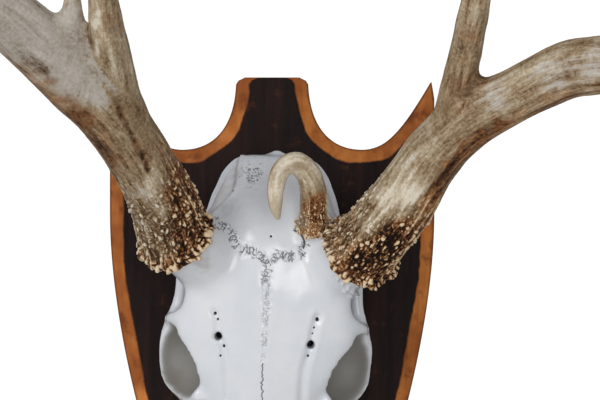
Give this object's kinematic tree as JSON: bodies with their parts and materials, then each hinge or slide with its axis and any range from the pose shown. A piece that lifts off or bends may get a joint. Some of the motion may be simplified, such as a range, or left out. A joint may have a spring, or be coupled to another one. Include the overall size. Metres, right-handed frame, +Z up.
{
  "type": "deer skull mount",
  "caption": "Wall-hung deer skull with branching antlers and a small hooked extra antler, set on a shield-shaped wooden board.",
  "frame": {"origin": "middle of the board's back face, where it lies on the wall", "axes": "+X to the viewer's right, +Y into the wall, +Z up"},
  "size_m": [0.4504, 0.4161, 0.5019],
  "materials": {
    "stained_wood": "dark stained satin face with bare orange-brown worked edges",
    "bleached_bone": "bleached bone under a glossy clear white coat",
    "antler": "natural antler, grey-beige and brown, pearled near the burr"
  },
  "bodies": {
    "root": {"backboard": "stained_wood", "skull": "bleached_bone", "antler_left": "antler", "antler_right": "antler", "third_antler": "antler"}
  },
  "joints": []
}
